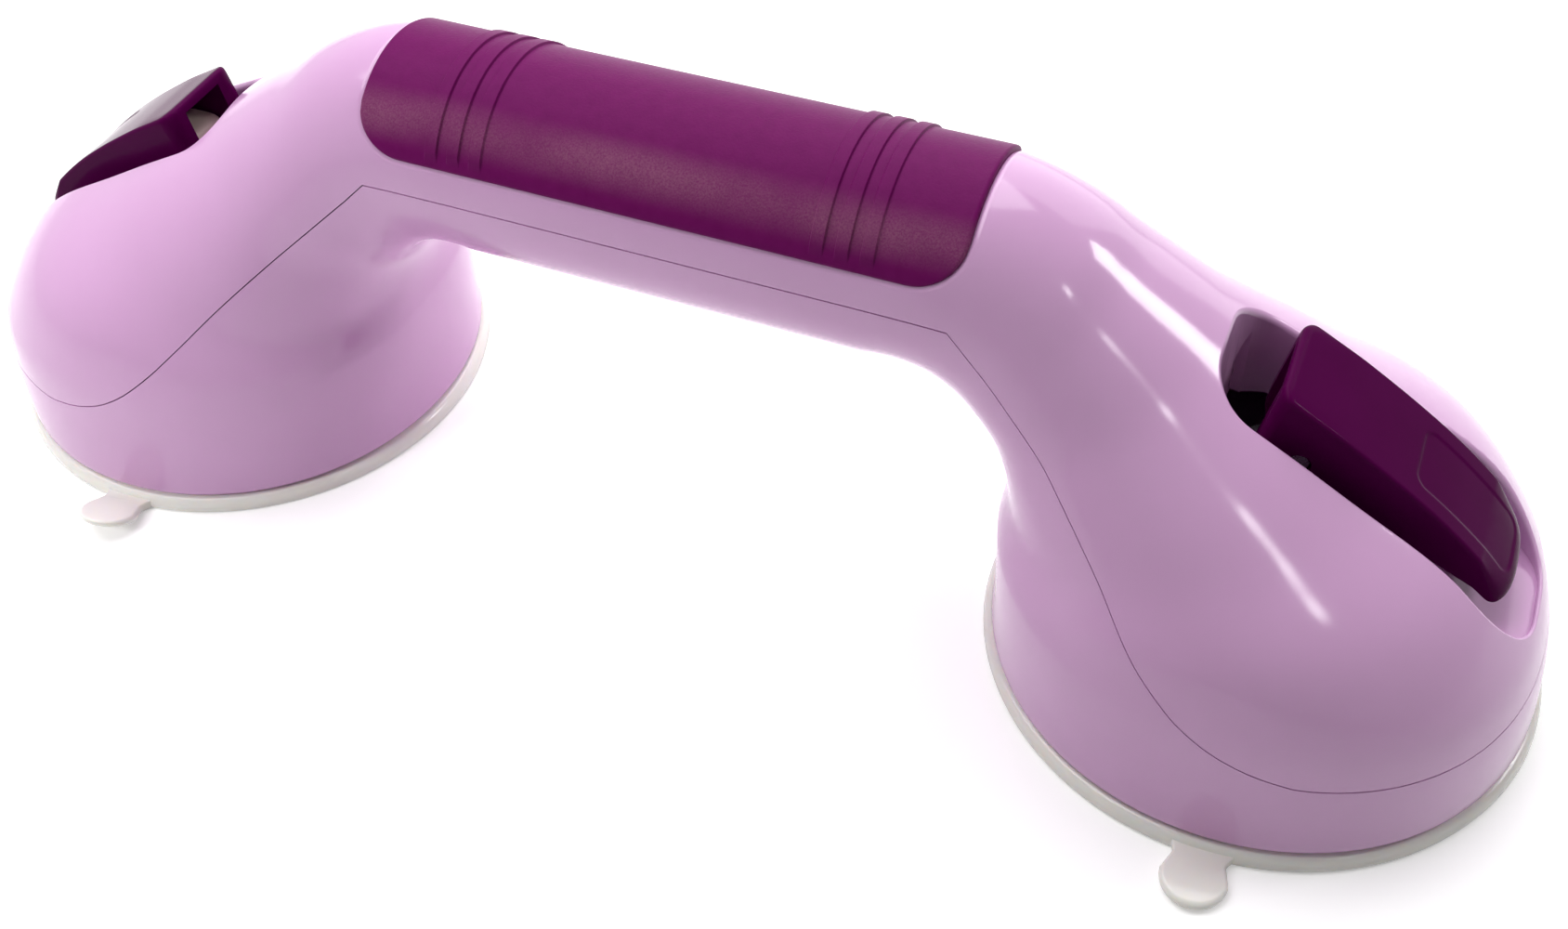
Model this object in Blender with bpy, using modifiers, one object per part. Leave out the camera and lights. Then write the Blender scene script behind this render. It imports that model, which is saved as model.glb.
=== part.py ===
# Suction grab bar: two cupped feet joined by a padded handle, each cup drawn
# tight by a cam lever.  Metres, +Z up, the bar lies along X, levers locked.
import math

import bmesh
import bpy

for old in list(bpy.data.objects):
    bpy.data.objects.remove(old, do_unlink=True)

# Overall layout; a foot's own sizes are measured outward from its upright axis
FOOT_X = 0.100
HANDLE_Z = 0.0657
HANDLE_R = 0.0175
GAP = 0.0003

# Outer skin: a fan of sections turns from the foot up into the handle
BEND_R = 0.0222
NECK_TIGHT = 0.0023
SKIRT_Z = 0.0031
SKIRT_R = 0.0442
SKIRT_MID_Z = 0.010
SKIRT_MID_R = SKIRT_R - 0.0007
SHOULDER_Z = 0.0175
SHOULDER_R = SKIRT_R - 0.0014
SHOULDER_OUT = SHOULDER_R - 0.0008
NECK_R = SKIRT_R - 0.0004
SQUARE = 0.25
WALL = 0.0024
HANDLE_WALL = 0.0042
# angle from level in degrees, distance to the ridge, half width
FAN = (
    (0.0, 0.1044, 0.0418),
    (8.0, 0.0948, 0.0387),
    (16.5, 0.0812, 0.0334),
    (23.5, 0.0729, 0.0299),
    (30.5, 0.0669, 0.0266),
    (38.0, 0.0630, 0.0235),
    (49.5, 0.0601, 0.0208),
    (59.0, 0.0600, 0.0190),
    (68.5, 0.0596, 0.0179),
    (76.0, 0.0588, 0.0176),
)
FAN_STEPS = 13
RING_POINTS = 34
HOLLOW_POINTS = 22

# Parting line between the shells, from the handle's corner round the foot
PART_LINE = (
    (-0.0470, 0.0624),
    (-0.0380, 0.0543),
    (-0.0260, 0.0436),
    (-0.0180, 0.0357),
    (-0.0120, 0.0300),
    (-0.0060, 0.0252),
    (0.0007, 0.0214),
    (0.0090, 0.0189),
    (0.0180, 0.0181),
    (0.0600, 0.0180),
)
PART_CORNER = 0.0490
PART_Z = 0.0663
PART_GAP = 0.0004

# Grip pad
GRIP_HALF = 0.0513
GRIP_ARC = 69.0
GRIP_THICK = 0.0022
GRIP_PROUD = 0.0002
GRIP_CORNER = 0.008
RIB_FIRST = 0.0282
RIB_STEP = 0.0039
RIB_WIDTH = 0.0021
RIB_HIGH = 0.0005

# Lever, its cam and its slot
PIVOT_Z = 0.050
LEVER_SLOPE = 37.7
LEVER_HALF = 0.009
LEVER_TOP = 0.0084
LEVER_HEEL = 0.0112
LEVER_TIP = 0.0363
LEVER_ROUND = 0.0075
LEVER_BOW = 0.0015
LEVER_SKIN = 0.0018
CAM_REACH = 0.011
CAM_LIFT = 0.004
LEVER_TURN = 100.0
SLOT_HALF = 0.0112
SLOT_FLARE = 0.0020
SLOT_INNER = -0.0140
SLOT_OUTER = 0.0392
SLOT_THROUGH = 0.0128
SLOT_CORNER = 0.007
SCOOP_CORNER = 0.010
SLOT_WALL = 0.0022

# Stem, pin and spring
STEM_R = 0.004
STEM_HEAD_R = 0.0047
STEM_HEAD_HALF = 0.0044
STEM_FOOT_R = 0.007
STEM_FOOT_THICK = 0.002
PIN_R = 0.0015
PIN_HALF = 0.0084
SPRING_R = 0.0067
WIRE_R = 0.0008
SPRING_TURNS = 5

# Pressure plate, wear plate and screws
PLATE_Z = 0.017
PLATE_THICK = 0.003
PLATE_R = SHOULDER_R - WALL - 0.0027
PLATE_RING = 0.004
TOWER_R = 0.0125
TOWER_BORE = 0.0095
TOWER_CAP = 0.003
WEAR_R = 0.0118
WEAR_THICK = 0.0012
SCREW_OUT = 0.004
SCREW_SIDE = PLATE_R - 0.0097
SCREW_IN = PLATE_R - 0.0077
SCREW_R = 0.0015
SCREW_LONG = 0.0115
HEAD_R = 0.003
HEAD_HIGH = 0.0022
BOSS_R = 0.0042
BOSS_LONG = 0.0125

# Suction cup
CUP_R = SKIRT_R + 0.0013
CUP_FLAT = 0.0055
CUP_RISE = 0.0047
CUP_SKIN = 0.002
CUP_LIP = 0.0012
CUP_BED = 0.0040
CUP_BOSS_R = 0.009
CUP_BOSS_Z = 0.013
TAB_REACH = 0.0095
TAB_HALF = 0.0052
TAB_NECK = 0.0042
TAB_THICK = 0.0018
TAB_SHIFT = 0.0016

# Values that follow from the sizes above
MID_Y = TAB_REACH / 2
FAN_X = FOOT_X - NECK_R - BEND_R
FAN_Z = HANDLE_Z - HANDLE_R - BEND_R
FAN_ROWS = FAN + ((90.0, BEND_R + 2 * HANDLE_R, HANDLE_R),)
WEAR_TOP = PIVOT_Z - CAM_REACH - GAP
WEAR_BOTTOM = WEAR_TOP - WEAR_THICK
TOWER_TOP = WEAR_BOTTOM - GAP
PLATE_TOP = PLATE_Z + PLATE_THICK
STEM_FOOT_Z = CUP_RISE + CUP_SKIN + GAP
CAM_RATE = CAM_LIFT / math.radians(LEVER_TURN)
HOLE_R = PIN_R + GAP
PILOT_R = SCREW_R + GAP
UPRIGHT = (math.pi / 2, 0.0, 0.0)
FAR = 0.06

parts = bpy.data.collections.new("suction_grab_bar")
cutters = bpy.data.collections.new("cutters")
for collection in (parts, cutters):
    bpy.context.scene.collection.children.link(collection)

# kind: colour, roughness, metallic
FINISH = {
    "shell": ((0.56, 0.35, 0.56, 1.0), 0.2, 0.0),
    "grip": ((0.12, 0.01, 0.09, 1.0), 0.55, 0.0),
    "lever": ((0.06, 0.0, 0.05, 1.0), 0.15, 0.0),
    "cup": ((0.68, 0.60, 0.52, 1.0), 0.35, 0.0),
    "nylon": ((0.75, 0.68, 0.58, 1.0), 0.45, 0.0),
    "plate": ((0.40, 0.28, 0.40, 1.0), 0.5, 0.0),
    "steel": ((0.55, 0.55, 0.57, 1.0), 0.3, 1.0),
}


def finish(name, kind):
    colour, rough, metal = FINISH[kind]
    paint = bpy.data.materials.new(name)
    paint.use_nodes = True
    shader = paint.node_tree.nodes["Principled BSDF"]
    shader.inputs["Base Color"].default_value = colour
    shader.inputs["Roughness"].default_value = rough
    shader.inputs["Metallic"].default_value = metal
    return paint


def add(name, data, kind=None, parent=None, at=(0.0, 0.0, 0.0), turn=(0.0, 0.0, 0.0)):
    """Place a piece, or a cutter where no kind of finish is given."""
    obj = bpy.data.objects.new(name, data)
    obj.parent = parent
    obj.location = at
    obj.rotation_euler = turn
    if kind:
        data.materials.append(finish(name, kind))
        parts.objects.link(obj)
    else:
        obj.hide_render = True
        obj.display_type = "WIRE"
        cutters.objects.link(obj)
    return obj


def cut(obj, other, how="DIFFERENCE"):
    step = obj.modifiers.new(how.lower(), "BOOLEAN")
    step.operation = how
    step.solver = "EXACT"
    step.object = other


def mesh_from(work, name, smooth=True):
    mesh = bpy.data.meshes.new(name)
    bmesh.ops.recalc_face_normals(work, faces=work.faces)
    work.to_mesh(mesh)
    work.free()
    if smooth:
        mesh.shade_smooth()
        mesh.set_sharp_from_angle(angle=math.radians(35))
    return mesh


def rod(name, radius, length, sides):
    work = bmesh.new()
    bmesh.ops.create_cone(
        work,
        cap_ends=True,
        segments=sides,
        radius1=radius,
        radius2=radius,
        depth=length,
    )
    return mesh_from(work, name)


def slab(name, outline, thick):
    """A flat outline with thickness, drawn in XY about its middle plane."""
    curve = bpy.data.curves.new(name, "CURVE")
    curve.dimensions = "2D"
    curve.fill_mode = "BOTH"
    curve.extrude = thick / 2
    spline = curve.splines.new("POLY")
    spline.points.add(len(outline) - 1)
    for point, (x, y) in zip(spline.points, outline):
        point.co = (x, y, 0.0, 1.0)
    spline.use_cyclic_u = True
    draft = bpy.data.objects.new(name, curve)
    cutters.objects.link(draft)
    graph = bpy.context.evaluated_depsgraph_get()
    mesh = bpy.data.meshes.new_from_object(draft.evaluated_get(graph))
    bpy.data.objects.remove(draft)
    work = bmesh.new()
    work.from_mesh(mesh)
    bmesh.ops.remove_doubles(work, verts=work.verts, dist=1e-6)
    return mesh_from(work, name, False)


def turned(name, profile, kind, parent, steps, at=(0.0, 0.0, 0.0)):
    """Turn a (radius, z) profile that runs down its outer side."""
    count = len(profile)
    edges = [(i, i + 1) for i in range(count - 1)]
    if profile[0][0] > 0:
        edges.append((count - 1, 0))
    mesh = bpy.data.meshes.new(name)
    mesh.from_pydata([(r, 0.0, z) for r, z in profile], edges, [])
    obj = add(name, mesh, kind, parent, at)
    screw = obj.modifiers.new("turn", "SCREW")
    screw.steps = steps
    screw.render_steps = steps
    screw.use_merge_vertices = True
    screw.merge_threshold = 1e-6
    return obj


def eased(column, angle):
    """Read one column of the fan along a smooth curve."""
    keys = [row[0] for row in FAN_ROWS]
    values = [row[column] for row in FAN_ROWS]
    last = len(keys) - 1
    i = min(last - 1, sum(1 for k in keys[1:-1] if k <= angle))

    def slope(n):
        lo, hi = max(0, n - 1), min(last, n + 1)
        return (values[hi] - values[lo]) / (keys[hi] - keys[lo])

    span = keys[i + 1] - keys[i]
    t = (angle - keys[i]) / span
    start = 2 * t**3 - 3 * t**2 + 1
    pull = (t**3 - 2 * t**2 + t) * slope(i) + (t**3 - t**2) * slope(i + 1)
    return start * values[i] + (1 - start) * values[i + 1] + span * pull


def sections(steps, hollow):
    """Inner end, outer end, half width and roundness, skirt to mid handle."""
    inset = WALL if hollow else 0.0
    rows = []
    for z, inner, outer, half in (
        (SKIRT_Z / 3 if hollow else SKIRT_Z, SKIRT_R, SKIRT_R, SKIRT_R),
        (SKIRT_MID_Z, NECK_R, SKIRT_MID_R, SKIRT_MID_R),
        (SHOULDER_Z, NECK_R, SHOULDER_OUT, SHOULDER_R),
    ):
        low = (FOOT_X - inner + inset, z)
        high = (FOOT_X + outer - inset, z)
        rows.append((low, high, half - inset, 2.0 + SQUARE * z / FAN_Z))
    for k in range(steps + 1):
        angle = 90.0 * k / steps
        c, s = math.cos(math.radians(angle)), math.sin(math.radians(angle))
        if hollow:
            rise = max(0.0, min(1.0, (angle - 50.0) / 25.0))
            inset = WALL + rise * (HANDLE_WALL - WALL)
        near = BEND_R + NECK_TIGHT * 2 * s * c + inset
        far = eased(1, angle) - inset
        low = (FAN_X + near * c, FAN_Z + near * s)
        high = (FAN_X + far * c, FAN_Z + far * s)
        power = 2.0 + SQUARE * max(0.0, min(1.0, (16.0 - angle) / 14.0))
        rows.append((low, high, eased(2, angle) - inset, power))
    for x in (FAN_X / 2, 0.0):
        low = (x, HANDLE_Z - HANDLE_R + inset)
        high = (x, HANDLE_Z + HANDLE_R - inset)
        rows.append((low, high, HANDLE_R - inset, 2.0))
    return rows


def skin(name, steps, points, hollow, kind=None):
    """Loft the unlike sections of one half and mirror it at mid handle."""
    work = bmesh.new()
    rings = []
    for low, high, half, power in sections(steps, hollow):
        ring = []
        for k in range(points):
            t = 2 * math.pi * k / points
            c, s = math.cos(t), math.sin(t)
            reach = (abs(c) ** power + abs(s) ** power) ** (-1 / power)
            along = (1 + reach * c) / 2
            x = low[0] + along * (high[0] - low[0])
            z = low[1] + along * (high[1] - low[1])
            ring.append(work.verts.new((x, half * reach * s, z)))
        rings.append(ring)
    for one, two in zip(rings, rings[1:]):
        for k in range(points):
            n = (k + 1) % points
            work.faces.new((one[k], one[n], two[n], two[k]))
    bmesh.ops.triangulate(work, faces=work.faces)
    work.faces.new(rings[0])
    obj = add(name, mesh_from(work, name), kind, None, (0.0, MID_Y, 0.0))
    mirror = obj.modifiers.new("mirror", "MIRROR")
    mirror.merge_threshold = 1e-5
    return obj


def above_parting(name, shift):
    """All that lies above the parting line, moved up by shift."""
    right = [(PART_CORNER, PART_Z)] + [(FOOT_X + x, z) for x, z in PART_LINE]
    line = [(-x, z + shift) for x, z in reversed(right)]
    line += [(x, z + shift) for x, z in right]
    top = HANDLE_Z + FAR
    outline = line + [(line[-1][0], top), (line[0][0], top)]
    return add(name, slab(name, outline, 2 * FAR), None, None, (0.0, MID_Y, 0.0), UPRIGHT)


def pad(name, half, arc, radius, thick, ribs, kind=None):
    """A bent sheet over the handle with round corners, thickened inward."""
    stations = []
    for k in range(5):
        a = math.pi / 2 * k / 4
        stations.append((half - GRIP_CORNER * (1 - math.sin(a)), 0.0))
    side, crest = RIB_WIDTH / 2, RIB_WIDTH / 5
    for k in range(3 if ribs else 0):
        x = RIB_FIRST + k * RIB_STEP
        for off, rise in ((-side, 0), (-crest, 1), (crest, 1), (side, 0)):
            stations.append((x + off, rise * RIB_HIGH))
    stations.sort()
    line = [(-x, rise) for x, rise in reversed(stations)] + stations
    last = len(line) - 1
    work = bmesh.new()
    bmesh.ops.create_grid(work, x_segments=last, y_segments=12, size=1.0)
    for vert in work.verts:
        x, rise = line[round((vert.co.x + 1) / 2 * last)]
        over = max(0.0, abs(x) - (half - GRIP_CORNER))
        trim = GRIP_CORNER - math.sqrt(max(0.0, GRIP_CORNER**2 - over**2))
        angle = vert.co.y * (math.radians(arc) - trim / HANDLE_R)
        r = radius + rise
        vert.co = (x, r * math.sin(angle), r * math.cos(angle))
    mesh = bpy.data.meshes.new(name)
    work.to_mesh(mesh)
    work.free()
    obj = add(name, mesh, kind, None, (0.0, MID_Y, HANDLE_Z))
    shell = obj.modifiers.new("thickness", "SOLIDIFY")
    shell.thickness = thick
    shell.offset = -1.0
    return obj


# The two shells share one skin; the hollow is trimmed later for each foot
upper = skin("upper_shell", FAN_STEPS, RING_POINTS, False, "shell")
lower = skin("lower_shell", FAN_STEPS, RING_POINTS, False, "shell")
hollow_up = skin("hollow_up", FAN_STEPS - 1, HOLLOW_POINTS, True)
hollow_low = skin("hollow_low", FAN_STEPS - 1, HOLLOW_POINTS, True)
cut(upper, above_parting("cover_side", PART_GAP / 2), "INTERSECT")
cut(lower, above_parting("cover_room", -PART_GAP / 2))
cut(upper, hollow_up)
cut(lower, hollow_low)

pad_r = HANDLE_R + GRIP_PROUD
pad("grip", GRIP_HALF, GRIP_ARC, pad_r, GRIP_THICK, True, "grip")
room_arc = GRIP_ARC + math.degrees(GAP / HANDLE_R)
room_rise = 4 * GRIP_THICK
room = pad(
    "grip_room",
    GRIP_HALF + GAP,
    room_arc,
    pad_r + room_rise,
    GRIP_THICK + GAP + room_rise,
    False,
)
cut(upper, room)


# Outlines in a foot's own frame, x outward from its axis
def lever_point(u, w):
    """Along the lever's top and square to it, from the pivot, to x and z."""
    a = math.radians(LEVER_SLOPE)
    x = u * math.cos(a) + w * math.sin(a)
    return x, w * math.cos(a) - u * math.sin(a)


def cam_point(turn):
    """Involute cam: its reach downward falls evenly as the lever lifts."""
    reach = CAM_REACH - CAM_RATE * math.radians(turn)
    a = math.radians(-90.0 - turn)
    x = reach * math.cos(a) - CAM_RATE * math.sin(a)
    return x, reach * math.sin(a) + CAM_RATE * math.cos(a)


def lever_outline():
    tip, top, bow = LEVER_TIP, LEVER_TOP, LEVER_BOW
    outline = [
        lever_point(-LEVER_HEEL, top - bow),
        lever_point(-LEVER_HEEL / 2, top - bow / 2),
        lever_point(0.0, top),
        lever_point(tip * 0.27, top + bow * 0.6),
        lever_point(tip * 0.55, top + bow),
        lever_point(tip * 0.77, top + bow * 0.8),
        lever_point(tip * 0.90, top + bow * 0.1),
        lever_point(tip * 0.97, top - bow * 0.8),
        lever_point(tip, top - bow * 2),
        lever_point(tip * 0.97, top - bow * 3.1),
        lever_point(tip * 0.85, top - bow * 3.6),
        lever_point(tip * 0.5, top - bow * 4.8),
    ]
    steps = 7
    outline += [cam_point(-15.0), cam_point(0.0)]
    outline += [cam_point(LEVER_TURN * (k + 1) / steps) for k in range(steps)]
    return outline


def lever_plan():
    """The lever from above: a square heel and a rounded outer end."""
    tip = lever_point(LEVER_TIP, LEVER_TOP)[0]
    wide = LEVER_HALF + GAP / 3
    power = 3.2
    outline = []
    for k in range(11):
        t = math.pi * k / 10
        c, s = math.cos(t), math.sin(t)
        reach = (abs(c) ** power + abs(s) ** power) ** (-1 / power)
        outline.append((tip + LEVER_ROUND * (reach * s - 1), wide * reach * c))
    return outline + [(-FAR / 2, -wide), (-FAR / 2, wide)]


def fork_outline():
    """Room between the lever's cheeks for the stem's eye."""
    under = LEVER_TOP - LEVER_BOW - LEVER_SKIN
    stop = STEM_HEAD_R + 2 * GAP
    a = math.radians(LEVER_SLOPE)
    u = (stop - under * math.sin(a)) / math.cos(a)
    back = lever_point(-LEVER_HEEL - 0.004, under)
    far = -FAR / 3
    return [(far, far), (stop, far), lever_point(u, under), back, (far, back[1])]


def slot_outline():
    """The lever's slot from the side, open under the cam, a scoop outside."""
    return [
        (SLOT_INNER, -FAR),
        (SLOT_THROUGH, -FAR),
        (SLOT_THROUGH, -0.0118),
        (0.0260, -0.0205),
        (0.0330, -0.0244),
        (SLOT_OUTER, -0.0257),
        (FAR, -0.0257),
        (FAR, FAR),
        (SLOT_INNER, FAR),
    ]


def slot_plan(margin):
    """The slot from above: round ends, wider towards the finger scoop."""
    outline = []
    for x, half, r, facing, start in (
        (SLOT_OUTER, SLOT_HALF + SLOT_FLARE, SCOOP_CORNER, 1, 0.0),
        (SLOT_INNER, SLOT_HALF, SLOT_CORNER, -1, 90.0),
        (SLOT_INNER, SLOT_HALF, SLOT_CORNER, -1, 180.0),
        (SLOT_OUTER, SLOT_HALF + SLOT_FLARE, SCOOP_CORNER, 1, 270.0),
    ):
        side = 1 if start < 180 else -1
        for k in range(6):
            a = math.radians(start + 90.0 * k / 5)
            px = x - facing * r + (r + margin) * math.cos(a)
            outline.append((px, side * (half - r) + (r + margin) * math.sin(a)))
    return outline


def trough_outline():
    """Walls and floor that the upper shell keeps round the slot."""
    return [
        (SLOT_INNER - SLOT_WALL, -0.0055),
        (0.0080, -0.0088),
        (SLOT_THROUGH, -0.0115),
        (SLOT_THROUGH + SLOT_WALL, -0.0148),
        (0.0320, -0.0268),
        (FAR, -0.0275),
        (FAR, FAR),
        (SLOT_INNER - SLOT_WALL, FAR),
    ]


def tab_outline():
    edge = 0.0015 - CUP_R
    mid = -CUP_R - TAB_REACH * 0.2
    end = TAB_HALF - CUP_R - TAB_REACH
    outline = [(TAB_NECK, edge), (-TAB_NECK, edge), (-TAB_NECK, mid)]
    for k in range(9):
        t = math.pi * k / 8
        outline.append((-TAB_HALF * math.cos(t), end - TAB_HALF * math.sin(t)))
    outline.append((TAB_NECK, mid))
    return [(x + TAB_SHIFT, y) for x, y in outline]


def neck_boss_outline():
    outline = [(-NECK_R - BOSS_R, BOSS_R), (-NECK_R - BOSS_R, -BOSS_R)]
    for k in range(9):
        t = math.pi * (k / 8 - 0.5)
        outline.append((BOSS_R * math.cos(t) - SCREW_IN, BOSS_R * math.sin(t)))
    return outline


# Turned profiles, each down its outer side
def stem_profile():
    return [
        (0.0, PIVOT_Z),
        (STEM_R, PIVOT_Z),
        (STEM_R, STEM_FOOT_Z + STEM_FOOT_THICK),
        (STEM_FOOT_R, STEM_FOOT_Z + STEM_FOOT_THICK),
        (STEM_FOOT_R, STEM_FOOT_Z),
        (0.0, STEM_FOOT_Z),
    ]


def wear_profile():
    bore = STEM_R + GAP
    return [(bore, WEAR_TOP), (WEAR_R, WEAR_TOP), (WEAR_R, WEAR_BOTTOM), (bore, WEAR_BOTTOM)]


def plate_profile():
    ring_z = CUP_BED + GAP
    bore = STEM_R + GAP
    return [
        (bore, TOWER_TOP),
        (TOWER_R, TOWER_TOP),
        (TOWER_R, PLATE_TOP),
        (PLATE_R, PLATE_TOP),
        (PLATE_R, ring_z),
        (PLATE_R - PLATE_RING, ring_z),
        (PLATE_R - PLATE_RING, PLATE_Z),
        (TOWER_BORE, PLATE_Z),
        (TOWER_BORE, TOWER_TOP - TOWER_CAP),
        (bore, TOWER_TOP - TOWER_CAP),
    ]


def cup_profile():
    """Drawn up as when locked: a flat rim, a thin dome, a boss on top."""
    floor = STEM_FOOT_Z - GAP
    pocket_r = STEM_FOOT_R + GAP
    pocket_top = STEM_FOOT_Z + STEM_FOOT_THICK + GAP
    bore = STEM_R + GAP
    lip_top = SKIRT_Z - GAP
    flat_r = CUP_R - CUP_FLAT
    return [
        (0.0, floor),
        (pocket_r, floor),
        (pocket_r, pocket_top),
        (bore, pocket_top),
        (bore, CUP_BOSS_Z),
        (CUP_BOSS_R, CUP_BOSS_Z),
        (CUP_BOSS_R, CUP_BED + 0.0048),
        (CUP_BOSS_R + 0.0006, CUP_BED + 0.0040),
        (0.020, CUP_BED + 0.0026),
        (PLATE_R - PLATE_RING - 0.001, CUP_BED),
        (PLATE_R + 0.0013, CUP_BED),
        (PLATE_R + 0.0025, lip_top),
        (CUP_R - 0.0009, lip_top - 0.0002),
        (CUP_R, CUP_LIP),
        (CUP_R, 0.0),
        (flat_r, 0.0),
        (flat_r * 0.90, CUP_RISE * 0.25),
        (flat_r * 0.70, CUP_RISE * 0.64),
        (flat_r * 0.45, CUP_RISE * 0.90),
        (0.0, CUP_RISE),
    ]


def screw_profile():
    """Pan head below, with a driver recess, and a plain pointed shank."""
    face = PLATE_Z - GAP
    return [
        (0.0, face + SCREW_LONG),
        (SCREW_R, face + SCREW_LONG - SCREW_R),
        (SCREW_R, face),
        (HEAD_R, face),
        (HEAD_R, face - HEAD_HIGH * 0.6),
        (HEAD_R * 0.8, face - HEAD_HIGH),
        (HEAD_R * 0.45, face - HEAD_HIGH),
        (HEAD_R * 0.45, face - HEAD_HIGH * 0.55),
        (0.0, face - HEAD_HIGH * 0.45),
    ]


def add_spring(name, foot):
    """One round wire; its least gap to itself is measured and printed."""
    low = CUP_BOSS_Z + WIRE_R + GAP
    high = TOWER_TOP - TOWER_CAP - WIRE_R - GAP
    per_turn = 10
    total = SPRING_TURNS * per_turn
    points = []
    for k in range(total + 1):
        a = 2 * math.pi * k / per_turn
        z = low + (high - low) * k / total
        points.append((SPRING_R * math.cos(a), SPRING_R * math.sin(a), z))
    curve = bpy.data.curves.new(name, "CURVE")
    curve.dimensions = "3D"
    curve.bevel_depth = WIRE_R
    curve.bevel_resolution = 1
    curve.use_fill_caps = True
    spline = curve.splines.new("POLY")
    spline.points.add(total)
    for point, place in zip(spline.points, points):
        point.co = (*place, 1.0)
    least = min(
        math.dist(points[i], points[j])
        for i in range(total + 1)
        for j in range(i + per_turn // 2, total + 1)
    )
    print(name, "least gap to itself in mm:", round(1000 * (least - 2 * WIRE_R), 2))
    add(name, curve, "steel", foot)


def add_slot(word, foot):
    """Trough walls left in the hollow, the slot cut through, room for the heel's swing."""
    at = (0.0, 0.0, PIVOT_Z)
    for name, side, margin, target in (
        (word + "_trough", trough_outline(), SLOT_WALL, hollow_up),
        (word + "_slot", slot_outline(), 0.0, upper),
    ):
        cutter = add(name, slab(name, side, 2 * FAR), None, foot, at, UPRIGHT)
        plan = slab(name + "_plan", slot_plan(margin), 4 * FAR)
        cut(cutter, add(name + "_plan", plan, None, foot, at), "INTERSECT")
        cut(target, cutter)
    swing = math.hypot(LEVER_HEEL, LEVER_TOP - LEVER_BOW) + GAP
    for name, drop in ((word + "_heel_room", 0.0), (word + "_heel_drop", CAM_LIFT)):
        room = rod(name, swing, 2 * (LEVER_HALF + GAP), 32)
        cut(upper, add(name, room, None, foot, (0.0, 0.0, PIVOT_Z - drop), UPRIGHT))


def add_screws(word, foot, facing, plate):
    """Three screws up through the plate into bosses of the two shells."""
    for place, x, y in (
        ("front", SCREW_OUT, -facing * SCREW_SIDE),
        ("back", SCREW_OUT, facing * SCREW_SIDE),
        ("inner", -SCREW_IN, 0.0),
    ):
        name = word + "_" + place + "_screw"
        low = PLATE_TOP + GAP
        if place == "inner":
            shell, hollow = lower, hollow_low
            post = slab(name + "_boss", neck_boss_outline(), BOSS_LONG)
            at = (0.0, 0.0, low + BOSS_LONG / 2)
        else:
            shell, hollow = upper, hollow_up
            post = rod(name + "_boss", BOSS_R, FAR, 14)
            at = (x, y, low + FAR / 2)
        cut(hollow, add(name + "_boss", post, None, foot, at))
        end = PLATE_Z + SCREW_LONG + 2 * GAP
        pilot = add(name + "_pilot", rod(name + "_pilot", PILOT_R, end, 12), None, foot, (x, y, end / 2))
        cut(shell, pilot)
        cut(plate, pilot)
        turned(name, screw_profile(), "steel", foot, 10, (x, y, 0.0))


def add_lever(word, foot):
    name = word + "_lever"
    at = (0.0, 0.0, PIVOT_Z)
    lever = add(name, slab(name, lever_outline(), 2 * LEVER_HALF), "lever", foot, at, UPRIGHT)
    fork = slab(name + "_fork", fork_outline(), 2 * (STEM_HEAD_HALF + GAP))
    cut(lever, add(name + "_fork", fork, None, foot, at, UPRIGHT))
    hole = add(name + "_hole", rod(name + "_hole", HOLE_R, FAR, 12), None, foot, at, UPRIGHT)
    cut(lever, hole)
    plan = slab(name + "_plan", lever_plan(), 2 * FAR)
    cut(lever, add(name + "_plan", plan, None, foot, at), "INTERSECT")


def add_stem(word, foot):
    name = word + "_stem"
    at = (0.0, 0.0, PIVOT_Z)
    stem = turned(name, stem_profile(), "nylon", foot, 20)
    head = rod(name + "_head", STEM_HEAD_R, 2 * STEM_HEAD_HALF, 20)
    cut(stem, add(name + "_head", head, None, foot, at, UPRIGHT), "UNION")
    eye = rod(name + "_eye", HOLE_R, FAR, 12)
    cut(stem, add(name + "_eye", eye, None, foot, at, UPRIGHT))
    pin = word + "_pivot_pin"
    add(pin, rod(pin, PIN_R, 2 * PIN_HALF, 12), "steel", foot, at, UPRIGHT)


def add_cup(word, x):
    name = word + "_suction_cup"
    at = (x, MID_Y, 0.0)
    cup = turned(name, cup_profile(), "cup", None, 36, at)
    tab = slab(name + "_tab", tab_outline(), TAB_THICK)
    where = (x, MID_Y, TAB_THICK / 2)
    cut(cup, add(name + "_tab", tab, None, None, where), "UNION")


# Each foot hangs from an empty on its axis; the left one is turned half round
for word, facing in (("right", 1), ("left", -1)):
    foot = bpy.data.objects.new(word + "_foot", None)
    foot.location = (facing * FOOT_X, MID_Y, 0.0)
    foot.rotation_euler = (0.0, 0.0, 0.0 if facing > 0 else math.pi)
    parts.objects.link(foot)
    add_slot(word, foot)
    plate = turned(word + "_pressure_plate", plate_profile(), "plate", foot, 28)
    add_screws(word, foot, facing, plate)
    add_lever(word, foot)
    add_stem(word, foot)
    turned(word + "_wear_plate", wear_profile(), "steel", foot, 24)
    add_spring(word + "_return_spring", foot)
    add_cup(word, facing * FOOT_X)
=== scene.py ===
# Looks of the suction grab bar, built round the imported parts.
# Metres, +Z up; meshes are drawn about the bar's own middle plane, y = 0.
import math

import bmesh
import bpy
import numpy as np
from mathutils import Matrix, Vector
from mathutils.bvhtree import BVHTree
from mathutils.interpolate import poly_3d_calc


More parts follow.
